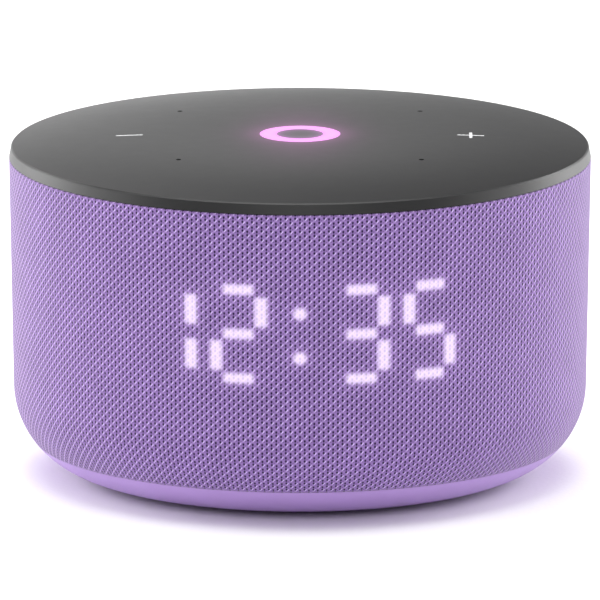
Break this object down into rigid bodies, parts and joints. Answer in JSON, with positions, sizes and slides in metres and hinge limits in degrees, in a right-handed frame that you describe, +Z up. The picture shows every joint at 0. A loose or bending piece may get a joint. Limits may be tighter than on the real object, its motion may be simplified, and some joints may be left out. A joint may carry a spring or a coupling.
{
  "type": "smart speaker",
  "caption": "Round tabletop speaker in a lavender knit sleeve, with a clock behind the cloth, a domed touch top with a lit ring, and a power inlet at the back.",
  "frame": {"origin": "centre of the foot ring, on the surface the speaker stands on", "axes": "+Z up; the clock display looks along -Y, and the power inlet and microphone button are on +Y"},
  "size_m": [0.1149, 0.1148, 0.068],
  "materials": {
    "foot_silicone": "matt silicone, lavender grey",
    "base_plastic": "fine-spark moulded, lavender",
    "sleeve_knit": "open knit, lavender with darker holes",
    "inner_plastic": "plain moulded, dark",
    "panel_plastic": "satin soft-touch, dark grey",
    "ring_lens": "milky light guide, lit violet",
    "cap_plastic": "polished, near black",
    "mark_print": "pale inlay",
    "button_plastic": "smooth moulded, lavender",
    "white_plastic": "moulded nylon, off white",
    "black_plastic": "glass-filled, black",
    "board_green": "solder-masked fibreglass, green",
    "chip_black": "moulded epoxy",
    "can_metal": "tinned, satin",
    "inlet_steel": "nickel-plated, satin",
    "screw_steel": "black zinc",
    "spring_steel": "gold flash on steel",
    "soft_rubber": "matt, black",
    "basket_steel": "powder coat, black",
    "plate_steel": "zinc-plated",
    "magnet_ferrite": "ground ferrite, dark grey",
    "coil_copper": "enamelled copper on paper",
    "cone_paper": "pressed pulp, black",
    "spider_cloth": "phenolic cloth, amber",
    "passive_metal": "anodised, dark",
    "lens_lit": "milky light pipe, lit pale violet",
    "lens_dark": "milky light pipe, unlit",
    "flex_black": "solder-masked flex, black",
    "led_white": "phosphor over a white package",
    "ribbon_film": "polyester film, pale grey",
    "wire_jacket": "PVC, red"
  },
  "bodies": {
    "enclosure": {"foot_ring": "foot_silicone", "base_cup": "base_plastic", "base_screws": "screw_steel", "grille_shell": "inner_plastic", "fabric_sleeve": "sleeve_knit", "port_panel": "base_plastic", "mute_switch": "black_plastic", "io_board": "board_green", "io_components": "chip_black", "usb_receptacle": "inlet_steel", "usb_tongue": "black_plastic", "top_panel": "panel_plastic", "light_ring": "ring_lens", "ring_centre": "cap_plastic", "minus_mark": "mark_print", "plus_mark": "mark_print", "main_board": "board_green", "microphones": "can_metal", "mic_gaskets": "soft_rubber", "ring_leds": "led_white", "light_well": "white_plastic", "touch_springs": "spring_steel", "shield_can": "can_metal", "processor_chips": "chip_black", "board_screws": "screw_steel", "chassis": "inner_plastic", "chassis_screws": "screw_steel", "box_tub": "black_plastic", "box_seal": "soft_rubber", "box_lid": "black_plastic", "driver_basket": "basket_steel", "driver_front_plate": "plate_steel", "driver_magnet": "magnet_ferrite", "driver_yoke": "plate_steel", "driver_screws": "screw_steel", "driver_terminal": "board_green", "passive_frame": "black_plastic", "display_mask": "black_plastic", "lit_bars": "lens_lit", "dark_bars": "lens_dark", "display_board": "flex_black", "display_leds": "led_white", "display_holder": "black_plastic", "display_ribbon": "ribbon_film", "io_ribbon": "ribbon_film", "ribbon_sockets": "black_plastic", "speaker_wires": "wire_jacket"},
    "woofer": {"cone": "cone_paper", "dust_cap": "cone_paper", "coil_former": "cone_paper", "coil_winding": "coil_copper", "spider": "spider_cloth", "surround": "soft_rubber"},
    "passive_radiator": {"passive_plate": "passive_metal", "passive_surround": "soft_rubber"},
    "mute_key": {"mute_button": "button_plastic", "mute_plunger": "white_plastic"}
  },
  "joints": [
    {"name": "woofer_stroke", "type": "slide", "parent": "enclosure", "child": "woofer", "axis": [0, 0, 1], "range_m": [-0.0025, 0.0025], "stiffness_N_per_m": 1500, "deforming": ["surround", "spider"]},
    {"name": "passive_stroke", "type": "slide", "parent": "enclosure", "child": "passive_radiator", "axis": [0, 0, 1], "range_m": [-0.003, 0.003], "stiffness_N_per_m": 900, "deforming": ["passive_surround"]},
    {"name": "mute_press", "type": "slide", "parent": "enclosure", "child": "mute_key", "axis": [0, -1, 0], "range_m": [0, 0.0006], "stiffness_N_per_m": 600}
  ]
}
